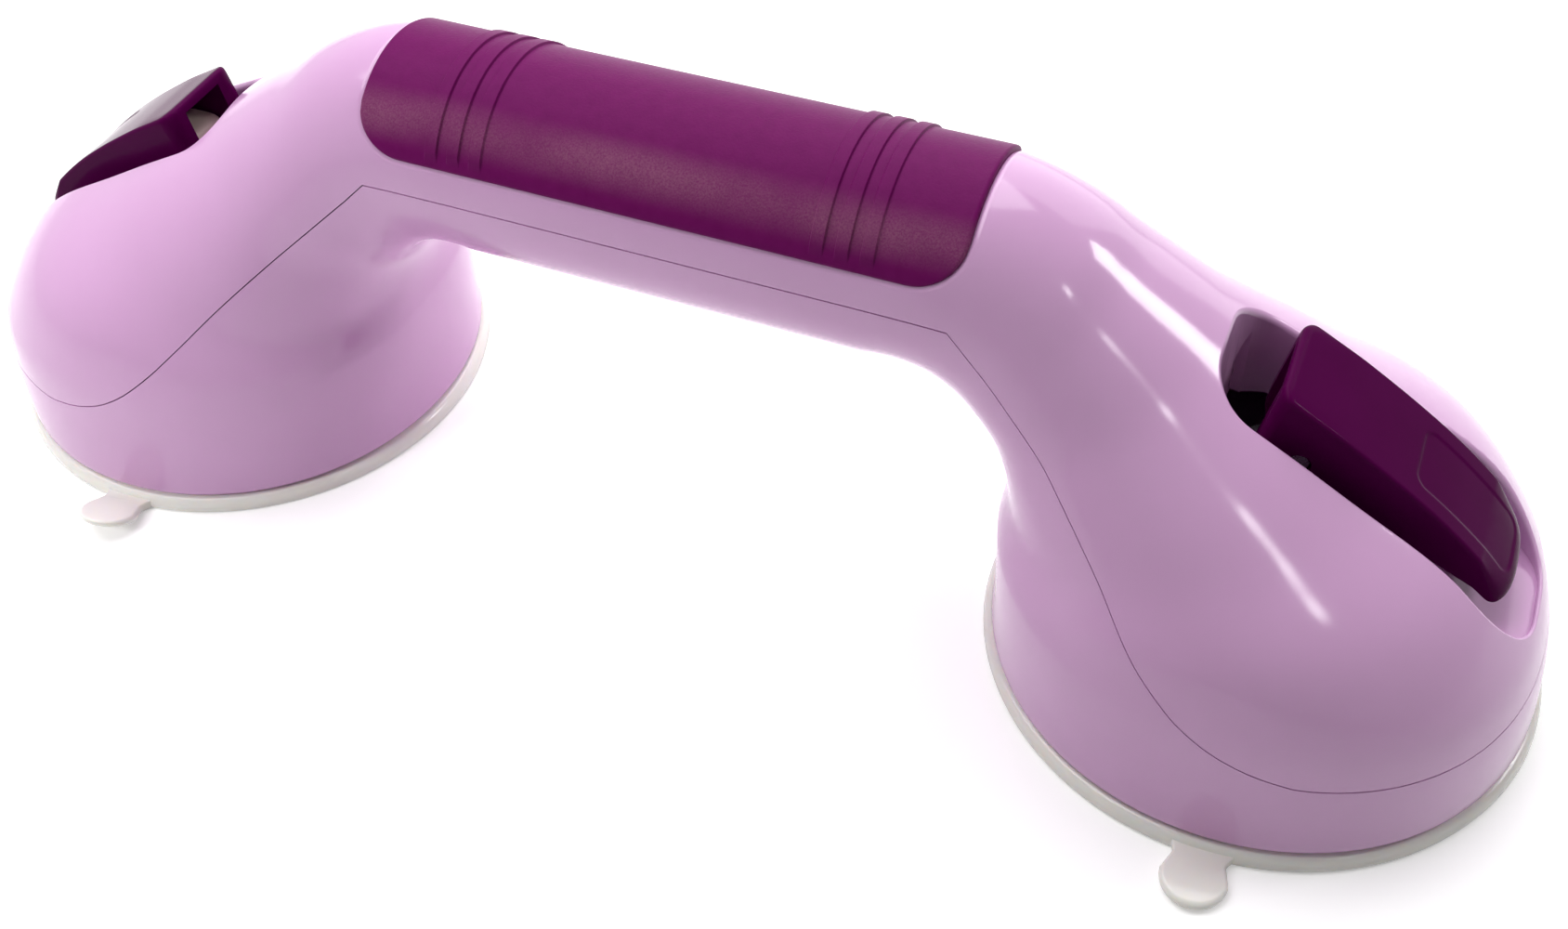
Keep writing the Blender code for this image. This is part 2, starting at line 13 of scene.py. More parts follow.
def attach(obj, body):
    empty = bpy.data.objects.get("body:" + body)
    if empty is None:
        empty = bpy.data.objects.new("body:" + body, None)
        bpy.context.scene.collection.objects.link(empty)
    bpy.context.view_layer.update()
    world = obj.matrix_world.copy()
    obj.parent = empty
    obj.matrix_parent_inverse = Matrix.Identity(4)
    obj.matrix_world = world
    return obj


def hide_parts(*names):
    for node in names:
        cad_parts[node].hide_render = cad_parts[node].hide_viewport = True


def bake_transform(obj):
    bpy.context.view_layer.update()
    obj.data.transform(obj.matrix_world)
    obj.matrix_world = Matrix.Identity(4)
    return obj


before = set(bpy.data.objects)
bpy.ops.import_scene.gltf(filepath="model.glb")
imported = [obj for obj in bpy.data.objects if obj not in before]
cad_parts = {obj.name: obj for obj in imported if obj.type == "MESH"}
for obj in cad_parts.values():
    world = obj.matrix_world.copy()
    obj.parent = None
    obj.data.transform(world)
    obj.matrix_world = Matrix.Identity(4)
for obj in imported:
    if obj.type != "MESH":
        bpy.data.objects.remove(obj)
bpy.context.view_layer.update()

# Housing, laid out as in the solids
MID_Y = 0.00475
FOOT_X = 0.100
HANDLE_Z = 0.0657
HANDLE_R = 0.0175
GAP = 0.0003
BEND_R = 0.0222
NECK_TIGHT = 0.0023
SKIRT_Z = 0.0031
SKIRT_R = 0.0442
SKIRT_ROUND = 0.0009
NECK_R = SKIRT_R - 0.0004
SHOULDER_R = SKIRT_R - 0.0014
WALL = 0.0024
HANDLE_WALL = 0.0042
# how far sections are from round, and the angles over which that fades
SQUARE = 0.25
SQUARE_FROM = 2.0
SQUARE_OVER = 14.0
# the angles over which the wall thickens into the handle's
WALL_FROM = 50.0
WALL_OVER = 25.0
FAN_X = FOOT_X - NECK_R - BEND_R
FAN_Z = HANDLE_Z - HANDLE_R - BEND_R
FAN_REACH = 0.1044
FAN_HALF = 0.0418
# angle from level in degrees, distance to the ridge, half width
FAN = (
    (0.0, FAN_REACH, FAN_HALF),
    (8.0, 0.0948, 0.0387),
    (16.5, 0.0812, 0.0334),
    (23.5, 0.0729, 0.0299),
    (30.5, 0.0669, 0.0266),
    (38.0, 0.0630, 0.0235),
    (49.5, 0.0601, 0.0208),
    (59.0, 0.0600, 0.0190),
    (68.5, 0.0596, 0.0179),
    (76.0, 0.0588, 0.0176),
    (90.0, BEND_R + 2 * HANDLE_R, HANDLE_R),
)
# height, reach to the neck side, to the outer end, half width
SKIRT = (
    (SKIRT_Z, SKIRT_R, SKIRT_R, SKIRT_R),
    (0.0100, NECK_R, SKIRT_R - 0.0007, SKIRT_R - 0.0007),
    (0.0175, NECK_R, SHOULDER_R - 0.0008, SHOULDER_R),
    (FAN_Z, NECK_R, FAN_X + FAN_REACH - FOOT_X, FAN_HALF),
    (0.0392, NECK_R, 0.0279, 0.0372),
)
# distance from the foot's axis, height
PART_LINE = (
    (-0.0470, 0.0624),
    (-0.0380, 0.0543),
    (-0.0260, 0.0436),
    (-0.0180, 0.0357),
    (-0.0120, 0.0300),
    (-0.0060, 0.0252),
    (0.0007, 0.0214),
    (0.0090, 0.0189),
    (0.0180, 0.0181),
    (0.0600, 0.0180),
)
PART_CORNER = 0.0490
PART_Z = 0.0663
PART_GAP = 0.00024

# Grip pad, ending a little sooner than its solid
GRIP_HALF = 0.0499
GRIP_ARC = 69.0
GRIP_THICK = 0.0022
GRIP_PROUD = 0.0002
GRIP_GAP = 0.00003
GRIP_CORNER = 0.008
GRIP_EDGE = 0.0005
RECESS_OVER = 0.006
RIB_COUNT = 3
RIB_FIRST = 0.0282
RIB_STEP = 0.0039
RIB_WIDTH = 0.0024
RIB_HIGH = 0.00042
RIB_SIDE = 0.22
RIB_FADE = 0.0018
RIB_END = 0.4

# Lever, with a thinner and longer tip than its solid
PIVOT_Z = 0.050
LEVER_SLOPE = 37.7
LEVER_HALF = 0.009
LEVER_TOP = 0.0084
LEVER_HEEL = 0.0112
LEVER_TIP = 0.0377
LEVER_ROUND = 0.0036
LEVER_BOW = 0.0015
LEVER_SKIN = 0.0018
LEVER_EDGE = 0.0006
LEVER_SPACING = 0.0003
LEVER_SOFTEN = 24
TIP_POWER = 2.6
HEEL_ROUND = 0.0028
DISH_MID = 0.0238
DISH_LONG = 0.0112
DISH_WIDE = 0.0060
DISH_CORNER = 0.0025
DISH_EDGE = 0.0007
DISH_DEEP = 0.00016
DISH_FACING = 0.8
CAM_REACH = 0.011
CAM_LIFT = 0.004
CAM_TURN = 100.0
CAM_LEAD = 15.0
CAM_RATE = CAM_LIFT / math.radians(CAM_TURN)

# Slot, its scoop ending a little sooner than in the solid
SLOT_HALF = 0.0112
SLOT_FLARE = 0.0020
SLOT_INNER = -0.0140
SLOT_OUTER = 0.0383
SLOT_THROUGH = 0.0128
SCOOP_TOP = -0.0118
SCOOP_BEND = ((0.026, -0.0205), (0.033, -0.0244))
SCOOP_FLOOR = -0.0257
SLOT_CORNER = 0.007
SCOOP_CORNER = 0.010
SLOT_WALL = 0.0022

# Rounded lips of the cuts
LIP_R = 0.0013
LIP_SPACING = 0.0007
LIP_CREASE = 7.0
GRIP_LIP = 0.0014
GRIP_LIP_FLAT = 0.42
GRIP_LIP_TURN = 0.64
# how near and how level with the skin a face must be to belong to it
ON_SKIN = 5e-5
SKIN_FACING = 0.85
# edges sharper than this, in degrees, are shaded sharp
SHELL_CREASE = 28.0
CREASE = 40.0
SOFT_CREASE = 60.0
# a slot's rim: fewest points, widest in X, least distance from the middle
RIM_POINTS = 20
RIM_WIDE = 0.07
RIM_OUT = 0.08

# Stem, pin, spring and cup
STEM_R = 0.004
STEM_HEAD_R = 0.0047
STEM_HEAD_HALF = 0.0044
STEM_FOOT_R = 0.007
STEM_FOOT_THICK = 0.002
STEM_FILLET = 0.0006
STEM_EDGE = 0.0004
PIN_R = 0.0015
PIN_HALF = 0.0084
ROD_STEPS = 64
PIN_STEPS = 24
SPRING_R = 0.0067
WIRE_R = 0.0008
SPRING_TURNS = 5
SPRING_STEPS = 40
WIRE_STEPS = 14
PLATE_ROOM = 0.0027
PLATE_R = SHOULDER_R - WALL - PLATE_ROOM
PLATE_RING = 0.004
CUP_R = SKIRT_R + 0.0013
CUP_FLAT = 0.0055
CUP_RISE = 0.0047
CUP_SKIN = 0.002
CUP_LIP = 0.0012
CUP_BED = 0.0040
CUP_BOSS_R = 0.009
CUP_BOSS_Z = 0.013
CUP_BOSS_EDGE = 0.0005
TAB_REACH = 0.0095
TAB_HALF = 0.0052
TAB_NECK = 0.0042
TAB_THICK = 0.0018
TAB_SHIFT = 0.0016
TAB_CURL = 0.0036
STEM_FOOT_Z = CUP_RISE + CUP_SKIN + GAP
WEAR_THICK = 0.0012
TOWER_TOP = PIVOT_Z - CAM_REACH - 2 * GAP - WEAR_THICK
TOWER_CAP = 0.003

# A length that takes cutters past every piece
FAR = 0.06
# From the right foot to the left, and from the middle to the right foot
HALF_TURN = Matrix.Rotation(math.pi, 4, "Z")
AT_FOOT = Matrix.Translation((FOOT_X, 0.0, 0.0))

# Floor and sky
WHITE = (1.0, 1.0, 1.0, 1.0)
FLOOR_GREY = (0.93, 0.93, 0.93, 1.0)
FLOOR_SIZE = 2.6
FLOOR_DROP = 0.0002
FLOOR_LIFT = 0.30
SKY_FILL = 0.06


# Mesh tools
def new_mesh(name, verts, faces):
    mesh = bpy.data.meshes.new(name)
    mesh.from_pydata([tuple(v) for v in verts], [], faces)
    work = bmesh.new()
    work.from_mesh(mesh)
    bmesh.ops.recalc_face_normals(work, faces=work.faces)
    work.to_mesh(mesh)
    work.free()
    return mesh


def lofted(name, rings, wrap=False):
    """Skin a row of equal rings, with capped ends unless it wraps round."""
    count = len(rings[0])
    rows = len(rings)
    faces = []
    for a in range(rows if wrap else rows - 1):
        b = (a + 1) % rows
        for k in range(count):
            n = (k + 1) % count
            faces.append((a * count + k, a * count + n, b * count + n, b * count + k))
    if not wrap:
        faces.append(tuple(range(count)))
        faces.append(tuple(range((rows - 1) * count, rows * count)))
    return new_mesh(name, [p for ring in rings for p in ring], faces)


def prism_y(name, outline, half):
    """An outline in XZ, thick along Y."""
    return lofted(name, [[(x, y, z) for x, z in outline] for y in (-half, half)])


def prism_z(name, outline, low, high):
    """An outline in XY, from low to high."""
    return lofted(name, [[(x, y, z) for x, y in outline] for z in (low, high)])


def turned(name, profile, steps):
    """Turn a (radius, z) profile round Z; ends on the axis are closed."""
    verts = []
    faces = []
    starts = []
    for r, z in profile:
        starts.append(len(verts))
        turns = 1 if r == 0 else steps
        for k in range(turns):
            a = 2 * math.pi * k / steps
            verts.append((r * math.cos(a), r * math.sin(a), z))
    rows = len(profile)
    closed = profile[0][0] > 0
    for i in range(rows if closed else rows - 1):
        j = (i + 1) % rows
        for k in range(steps):
            n = (k + 1) % steps
            one = [starts[i] + k, starts[i] + n] if profile[i][0] else [starts[i]]
            two = [starts[j] + n, starts[j] + k] if profile[j][0] else [starts[j]]
            if len(one) + len(two) > 2:
                faces.append(tuple(one + two))
    return new_mesh(name, verts, faces)


def rod_y(radius, half, steps, edge=0.0, power=2.0):
    """A bar across the foot through the lever's pivot, round or squarish."""
    small = radius - edge
    ends = ((-half, small), (edge - half, radius), (half - edge, radius), (half, small))
    rings = []
    for y, r in ends:
        ring = []
        for k in range(steps):
            a = 2 * math.pi * k / steps
            c, s = math.cos(a), math.sin(a)
            reach = (abs(c) ** power + abs(s) ** power) ** (-1 / power)
            r_here = r * reach * 2 ** (1 / power - 0.5)
            ring.append((FOOT_X + r_here * c, y, PIVOT_Z + r_here * s))
        rings.append(ring)
    return lofted("rod", rings if edge else rings[::3])


def carve(mesh, *steps):
    """Apply Boolean steps, each a mesh and what to do with it."""
    body = bpy.data.objects.new("carved", mesh)
    bpy.context.scene.collection.objects.link(body)
    tools = []
    for tool, how in steps:
        helper = bpy.data.objects.new("tool", tool)
        bpy.context.scene.collection.objects.link(helper)
        tools.append(helper)
        step = body.modifiers.new(how, "BOOLEAN")
        step.operation = how
        step.solver = "EXACT"
        step.object = helper
    graph = bpy.context.evaluated_depsgraph_get()
    result = bpy.data.meshes.new_from_object(body.evaluated_get(graph))
    for obj in [body] + tools:
        bpy.data.objects.remove(obj)
    return result


def moved(mesh, matrix):
    copy = mesh.copy()
    copy.transform(matrix)
    return copy


def shade(mesh, angle):
    """Smooth, but for edges sharper than an angle in degrees."""
    mesh.shade_smooth()
    mesh.set_sharp_from_angle(angle=math.radians(angle))
    return mesh


def even_faces(mesh):
    """Let large faces rule the shading, so that flats stay flat up to their rounds."""
    obj = bpy.data.objects.new("shaded", mesh)
    bpy.context.scene.collection.objects.link(obj)
    step = obj.modifiers.new("flats", "WEIGHTED_NORMAL")
    step.keep_sharp = True
    graph = bpy.context.evaluated_depsgraph_get()
    result = bpy.data.meshes.new_from_object(obj.evaluated_get(graph))
    bpy.data.objects.remove(obj)
    return result


def eased(rows, column, key):
    """Read one column of a table along a smooth curve."""
    keys = [row[0] for row in rows]
    values = [row[column] for row in rows]
    last = len(keys) - 1
    i = min(last - 1, sum(1 for k in keys[1:-1] if k <= key))

    def slope(n):
        lo, hi = max(0, n - 1), min(last, n + 1)
        return (values[hi] - values[lo]) / (keys[hi] - keys[lo])

    span = keys[i + 1] - keys[i]
    t = (key - keys[i]) / span
    start = 2 * t**3 - 3 * t**2 + 1
    pull = (t**3 - 2 * t**2 + t) * slope(i) + (t**3 - t**2) * slope(i + 1)
    return start * values[i] + (1 - start) * values[i + 1] + span * pull


def through(points, per_step):
    """A smooth curve through a row of points."""
    rows = [(i,) + tuple(p) for i, p in enumerate(points)]
    width = len(points[0])
    count = (len(points) - 1) * per_step
    return [
        tuple(eased(rows, c + 1, k / per_step) for c in range(width))
        for k in range(count + 1)
    ]


def step_up(t):
    """Smoothly from 0 to 1 while t does."""
    t = max(0.0, min(1.0, t))
    return t * t * (3 - 2 * t)


# Outer skin of the housing
def section(low, high, half, power, points):
    """A ring from a low to a high (x, z) point, round at power 2, squarer above."""
    ring = []
    for k in range(points):
        t = 2 * math.pi * k / points
        c, s = math.cos(t), math.sin(t)
        reach = (abs(c) ** power + abs(s) ** power) ** (-1 / power)
        along = (1 + reach * c) / 2
        x = low[0] + along * (high[0] - low[0])
        z = low[1] + along * (high[1] - low[1])
        ring.append((x, half * reach * s, z))
    return ring


def half_rings(skirt_steps, fan_steps, points, hollow):
    """Rings of the right half, from the skirt up and over to mid handle."""
    inset = WALL if hollow else 0.0
    rings = []
    rows = []
    if not hollow:
        for k in range(4):
            a = math.pi / 2 * k / 4
            drop = SKIRT_ROUND * (1 - math.sin(a))
            rows.append((SKIRT_Z + SKIRT_ROUND * (1 - math.cos(a)), drop))
    start = SKIRT_Z / 3 if hollow else SKIRT_Z + SKIRT_ROUND
    rows += [(start + (FAN_Z - start) * k / skirt_steps, 0.0) for k in range(skirt_steps)]
    for z, drop in rows:
        key = max(z, SKIRT_Z)
        inner, outer, half = (eased(SKIRT, c, key) - inset - drop for c in (1, 2, 3))
        power = 2.0 + SQUARE * z / FAN_Z
        rings.append(section((FOOT_X - inner, z), (FOOT_X + outer, z), half, power, points))
    for k in range(fan_steps + 1):
        angle = 90.0 * k / fan_steps
        c, s = math.cos(math.radians(angle)), math.sin(math.radians(angle))
        if hollow:
            inset = WALL + step_up((angle - WALL_FROM) / WALL_OVER) * (HANDLE_WALL - WALL)
        near = BEND_R + NECK_TIGHT * 2 * s * c + inset
        far = eased(FAN, 1, angle) - inset
        low = (FAN_X + near * c, FAN_Z + near * s)
        high = (FAN_X + far * c, FAN_Z + far * s)
        power = 2.0 + SQUARE * (1 - step_up((angle - SQUARE_FROM) / SQUARE_OVER))
        rings.append(section(low, high, eased(FAN, 2, angle) - inset, power, points))
    steps = max(2, fan_steps // 8)
    for k in range(1, steps + 1):
        x = FAN_X * (1 - k / steps)
        low = (x, HANDLE_Z - HANDLE_R + inset)
        high = (x, HANDLE_Z + HANDLE_R - inset)
        rings.append(section(low, high, HANDLE_R - inset, 2.0, points))
    return rings


def housing_solid(name, skirt_steps, fan_steps, points, hollow):
    right = half_rings(skirt_steps, fan_steps, points, hollow)
    left = [[(-x, y, z) for x, y, z in ring] for ring in right[:-1]]
    return lofted(name, right + left[::-1])


def above_parting(shift):
    """All that lies over the parting line, with the line moved up by a shift."""
    corner = (PART_CORNER, PART_Z)
    curve = through([(FOOT_X + x, z) for x, z in PART_LINE], 6)
    right = [(x, z + shift) for x, z in [corner] + curve]
    line = [(-x, z) for x, z in reversed(right)] + right
    top = HANDLE_Z + FAR
    outline = line + [(line[-1][0], top), (line[0][0], top)]
    return prism_y("above", outline, FAR)


# Slot for the lever, with its finger scoop
def slot_plan(margin, per_corner):
    """The slot from above, grown by a margin."""
    outline = []
    wide = SLOT_HALF + SLOT_FLARE
    for x, half, r, facing, start in (
        (SLOT_OUTER, wide, SCOOP_CORNER, 1, 0.0),
        (SLOT_INNER, SLOT_HALF, SLOT_CORNER, -1, 90.0),
        (SLOT_INNER, SLOT_HALF, SLOT_CORNER, -1, 180.0),
        (SLOT_OUTER, wide, SCOOP_CORNER, 1, 270.0),
    ):
        side = 1 if start < 180 else -1
        for k in range(per_corner + 1):
            a = math.radians(start + 90.0 * k / per_corner)
            px = x - facing * r + (r + margin) * math.cos(a)
            py = side * (half - r) + (r + margin) * math.sin(a)
            outline.append((FOOT_X + px, py))
    return outline


def slot_side():
    """The slot from the side: through at the pivot, then the scoop's floor."""
    stops = [(SLOT_THROUGH, SCOOP_TOP), *SCOOP_BEND, (SLOT_OUTER, SCOOP_FLOOR)]
    floor = through(stops, 6)
    points = [(SLOT_INNER - FAR / 9, -FAR), (SLOT_THROUGH, -FAR)] + floor
    points += [(FAR, SCOOP_FLOOR), (FAR, FAR), (SLOT_INNER - FAR / 9, FAR)]
    return [(FOOT_X + x, PIVOT_Z + z) for x, z in points]


def trough_side():
    """The wall that closes the slot off from the hollow, from the side."""
    points = [
        (SLOT_INNER - SLOT_WALL, -0.0055),
        (0.0080, -0.0088),
        (SLOT_THROUGH, -0.0115),
        (SLOT_THROUGH + SLOT_WALL, -0.0148),
        (0.0320, -0.0268),
        (FAR, -0.0275),
        (FAR, FAR),
        (SLOT_INNER - SLOT_WALL, FAR),
    ]
    return [(FOOT_X + x, PIVOT_Z + z) for x, z in points]


def slot_solid(side, margin, per_corner):
    plan = prism_z("plan", slot_plan(margin, per_corner), 0.0, 2 * FAR)
    return carve(prism_y("slot", side, FAR), (plan, "INTERSECT"))


# Grip pad, bent over the handle
def pad_place(u, v, half, arc, corner):
    """Where a point of a unit square lands on the pad: x and angle."""
    x = u * half
    over = max(0.0, abs(x) - (half - corner))
    trim = corner - math.sqrt(max(0.0, corner**2 - over**2))
    return x, v * (arc - trim / HANDLE_R)


def rib_height(x, angle, arc):
    """How far the ribs stand up at a place on the pad."""
    rise = 0.0
    for k in range(RIB_COUNT):
        off = abs(abs(x) - RIB_FIRST - k * RIB_STEP) / (RIB_WIDTH / 2)
        rise = max(rise, step_up((1 - off) / RIB_SIDE))
    fade = step_up((arc - abs(angle)) * HANDLE_R / RIB_FADE - RIB_END)
    return RIB_HIGH * rise * fade


def rib_stations():
    """Extra stations along the pad, close together at the ribs' edges."""
    edge = 1 - RIB_SIDE * np.linspace(-0.1, 1.1, 8)
    spots = []
    for k in range(RIB_COUNT):
        for side in (-1, 1):
            spots += [RIB_FIRST + k * RIB_STEP + side * e * RIB_WIDTH / 2 for e in edge]
    return np.array(spots + [-x for x in spots])


def pad_solid(name, half, arc_deg, top_r, thick, edge, ribs, columns, rows):
    """A closed pad with a rounded edge and, if asked, its ribs."""
    arc = math.radians(arc_deg)
    us = np.linspace(-1, 1, columns + 1)
    us = np.sign(us) * (1 - (1 - np.abs(us)) ** 1.25)
    if ribs:
        us = np.union1d(us, rib_stations() / (half - edge))
        columns = len(us) - 1
    vs = np.linspace(-1, 1, rows + 1)
    inner = (half - edge, arc - edge / HANDLE_R, GRIP_CORNER - edge)

    def point(u, v, inset, radius, raised):
        shape = (half - inset, arc - inset / HANDLE_R, GRIP_CORNER - inset)
        x, a = pad_place(u, v, *shape)
        r = radius + (rib_height(x, a, inner[1]) if raised else 0.0)
        return (x, r * math.sin(a), HANDLE_Z + r * math.cos(a))

    verts = [point(u, v, edge, top_r, ribs) for u in us for v in vs]
    wide = rows + 1
    faces = []
    for i in range(columns):
        for j in range(rows):
            here, beyond = i * wide + j, (i + 1) * wide + j
            faces.append((here, here + 1, beyond + 1, beyond))
    border = [(i, 0) for i in range(columns)] + [(columns, j) for j in range(rows)]
    border += [(columns - i, rows) for i in range(columns)]
    border += [(0, rows - j) for j in range(rows)]
    ring = [i * wide + j for i, j in border]
    for k in range(1, 7):
        a = math.pi / 2 * min(k, 5) / 5
        inset = edge * (1 - math.sin(a))
        radius = top_r - edge * (1 - math.cos(a)) if k < 6 else top_r - thick
        start = len(verts)
        verts += [point(us[i], vs[j], inset, radius, False) for i, j in border]
        count = len(ring)
        for m in range(count):
            n = (m + 1) % count
            faces.append((ring[m], ring[n], start + n, start + m))
        ring = [start + m for m in range(count)]
    under = len(verts)
    verts += [point(u, v, 0.0, top_r - thick, False) for u in us[1:-1] for v in vs[1:-1]]
    where = {pair: ring[m] for m, pair in enumerate(border)}
    for i in range(1, columns):
        for j in range(1, rows):
            where[(i, j)] = under + (i - 1) * (rows - 1) + j - 1
    for i in range(columns):
        for j in range(rows):
            corners = ((i, j), (i + 1, j), (i + 1, j + 1), (i, j + 1))
            faces.append(tuple(where[corner] for corner in corners))
    return new_mesh(name, verts, faces)


# Rounded lips where a cut meets the skin
class Skin:
    """The uncut outer skin, asked for its nearest point and smooth normal."""

    def __init__(self, mesh):
        mesh.shade_smooth()
        self.verts = [v.co.copy() for v in mesh.vertices]
        self.normals = [v.normal.copy() for v in mesh.vertices]
        self.faces = [tuple(p.vertices) for p in mesh.polygons]
        self.tree = BVHTree.FromPolygons(self.verts, self.faces)

    def normal(self, point):
        place, flat, index, distance = self.tree.find_nearest(point)
        face = self.faces[index]
        if len(face) > 4:
            return flat, distance
        weights = poly_3d_calc([self.verts[i] for i in face], place)
        total = Vector((0, 0, 0))
        for w, i in zip(weights, face):
            total += w * self.normals[i]
        return total.normalized(), distance

    def holds(self, polygon):
        normal, distance = self.normal(polygon.center)
        return distance < ON_SKIN and normal.dot(polygon.normal) > SKIN_FACING


def rims(mesh, skin):
    """Closed rows of (point, wall normal) where cut walls meet the skin."""
    on_skin = [skin.holds(p) for p in mesh.polygons]
    sides = {}
    for p in mesh.polygons:
        for key in p.edge_keys:
            sides.setdefault(key, []).append(p.index)
    links = {}
    walls = {}
    for key, pair in sides.items():
        if len(pair) == 2 and on_skin[pair[0]] != on_skin[pair[1]]:
            wall = pair[1] if on_skin[pair[0]] else pair[0]
            for i in key:
                walls.setdefault(i, Vector((0, 0, 0)))
                walls[i] += mesh.polygons[wall].normal
            links.setdefault(key[0], []).append(key[1])
            links.setdefault(key[1], []).append(key[0])
    loops = []
    left = set(links)
    while left:
        start = left.pop()
        loop = [start]
        while True:
            ahead = [i for i in links[loop[-1]] if i in left]
            if not ahead:
                break
            left.discard(ahead[0])
            loop.append(ahead[0])
        if len(loop) > RIM_POINTS:
            loops.append([(mesh.vertices[i].co.copy(), walls[i].normalized()) for i in loop])
    return loops


def grip_rim(skin):
    """The same kind of row round the grip's recess."""
    side = np.linspace(-1, 1, 161)
    border = [(u, -1) for u in side[:-1]] + [(1, v) for v in side[:-1]]
    border += [(-u, -v) for u, v in border]
    arc = math.radians(GRIP_ARC) + GRIP_GAP / HANDLE_R
    rim = []
    for u, v in border:
        x, a = pad_place(u, v, GRIP_HALF + GRIP_GAP, arc, GRIP_CORNER)
        out = Vector((0.0, math.sin(a), math.cos(a)))
        rim.append((skin.tree.ray_cast(Vector((x, 0.0, HANDLE_Z)), out)[0], out))
    top = Vector((0.0, 0.0, HANDLE_Z + HANDLE_R))
    row = []
    for k, (point, out) in enumerate(rim):
        ahead = rim[(k + 1) % len(rim)][0] - rim[k - 1][0]
        wall = ahead.cross(out).normalized()
        row.append((point, wall if wall.dot(top - point) > 0 else -wall))
    return row


def even_loop(loop, spacing):
    """The same closed row with points at even steps."""
    points = np.array([tuple(p) + tuple(n) for p, n in loop])
    closed = np.vstack([points, points[:1]])
    lengths = np.linalg.norm(np.diff(closed[:, :3], axis=0), axis=1)
    walk = np.concatenate([[0.0], np.cumsum(lengths)])
    count = int(walk[-1] / spacing)
    wanted = np.linspace(0, walk[-1], count, endpoint=False)
    rows = np.stack([np.interp(wanted, walk, closed[:, c]) for c in range(6)], 1)
    kernel = np.array([1, 2, 3, 2, 1]) / 9.0
    around = np.vstack([rows[-2:], rows, rows[:2]])
    return sum(kernel[k] * around[k : k + count] for k in range(5))


def lip_cutter(loop, skin, full, flat=1.0, turn=1.0):
    """A ring that shaves a sharp rim round, less where the rim is a thin wedge."""
    crease = math.radians(LIP_CREASE)
    sections = []
    for row in even_loop(loop, LIP_SPACING):
        point = Vector(row[:3])
        wall = Vector(row[3:]).normalized()
        outer, _ = skin.normal(point)
        both = outer + wall
        opening = math.acos(max(-1.0, min(1.0, outer.dot(wall))))
        radius = full / max(1.0, math.tan(opening / 2))
        centre = point - radius * both / (1 + outer.dot(wall))
        across = (wall - outer * outer.dot(wall)).normalized()
        end = turn * opening - crease
        arc = []
        for k in range(9):
            a = crease + (end - crease) * k / 8
            arc.append(centre + radius * (math.cos(a) * outer + math.sin(a) * across))
        reach = 0.6 * radius

        def ahead(a):
            return math.cos(a) * across - math.sin(a) * outer

        first = arc[0] - reach * ahead(crease)
        last = arc[-1] + reach * ahead(end)
        apex = point + both.normalized() * radius * 0.8
        ring = [first] + arc + [last, apex]
        sections.append([tuple(p - (1 - flat) * outer.dot(p - point) * outer) for p in ring])
    return lofted("lip", sections, wrap=True)


def keep_skin_normals(mesh, skin):
    """Shade the kept skin as if it had never been cut."""
    shade(mesh, SHELL_CREASE)
    normals = [tuple(n.vector) for n in mesh.corner_normals]
    known = {}
    for p in mesh.polygons:
        if not skin.holds(p):
            continue
        for loop in p.loop_indices:
            i = mesh.loops[loop].vertex_index
            if i not in known:
                known[i] = skin.normal(mesh.vertices[i].co)
            normal, distance = known[i]
            if distance < ON_SKIN:
                normals[loop] = tuple(normal)
    mesh.normals_split_custom_set(normals)
    return mesh


# Materials
def colour(red, green, blue):
    """An sRGB colour, 0 to 255, as the shader wants it."""

    def linear(c):
        c /= 255.0
        return c / 12.92 if c <= 0.04045 else ((c + 0.055) / 1.055) ** 2.4

    return (linear(red), linear(green), linear(blue), 1.0)


